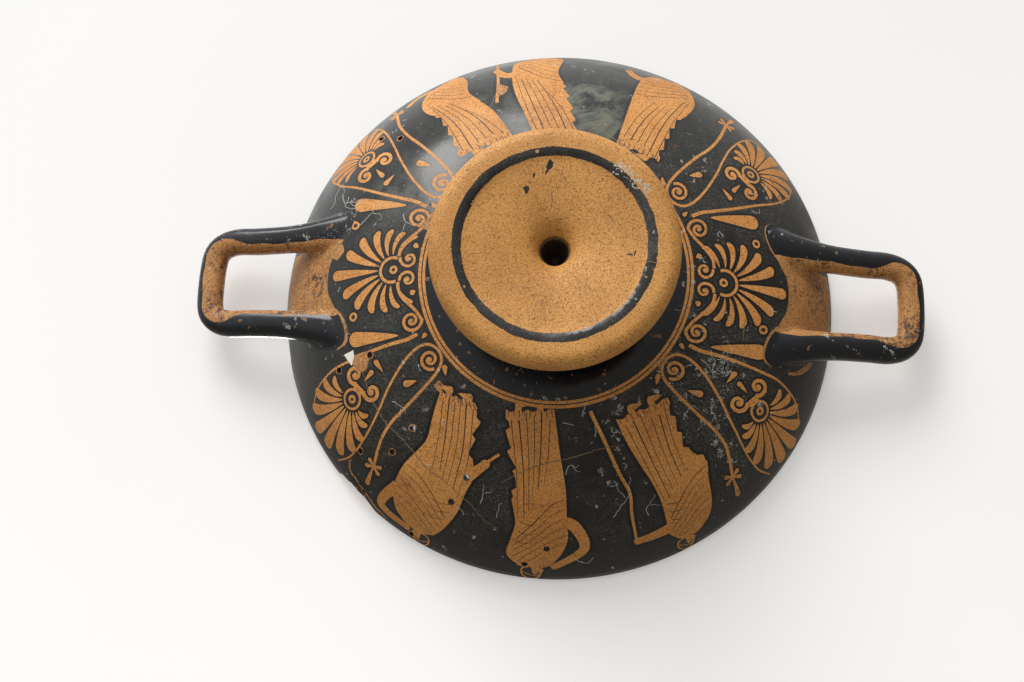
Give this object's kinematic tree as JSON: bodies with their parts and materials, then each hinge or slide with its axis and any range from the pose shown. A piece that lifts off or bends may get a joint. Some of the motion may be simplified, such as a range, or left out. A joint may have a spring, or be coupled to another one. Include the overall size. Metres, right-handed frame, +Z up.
{
  "type": "kylix cup",
  "caption": "Wide, shallow drinking cup with loop handles on a short stem and disc foot, in fired clay with black gloss and painted figures.",
  "frame": {"origin": "centre of the circle that the foot rests on, at the resting plane", "axes": "+Z up out of the bowl; X runs through both handles; -Y is the side whose three figures are best kept"},
  "size_m": [0.3134, 0.24, 0.086],
  "materials": {
    "fired_clay": "black gloss slip with reserved orange clay"
  },
  "bodies": {
    "root": {"kylix_cup": "fired_clay"}
  },
  "joints": []
}
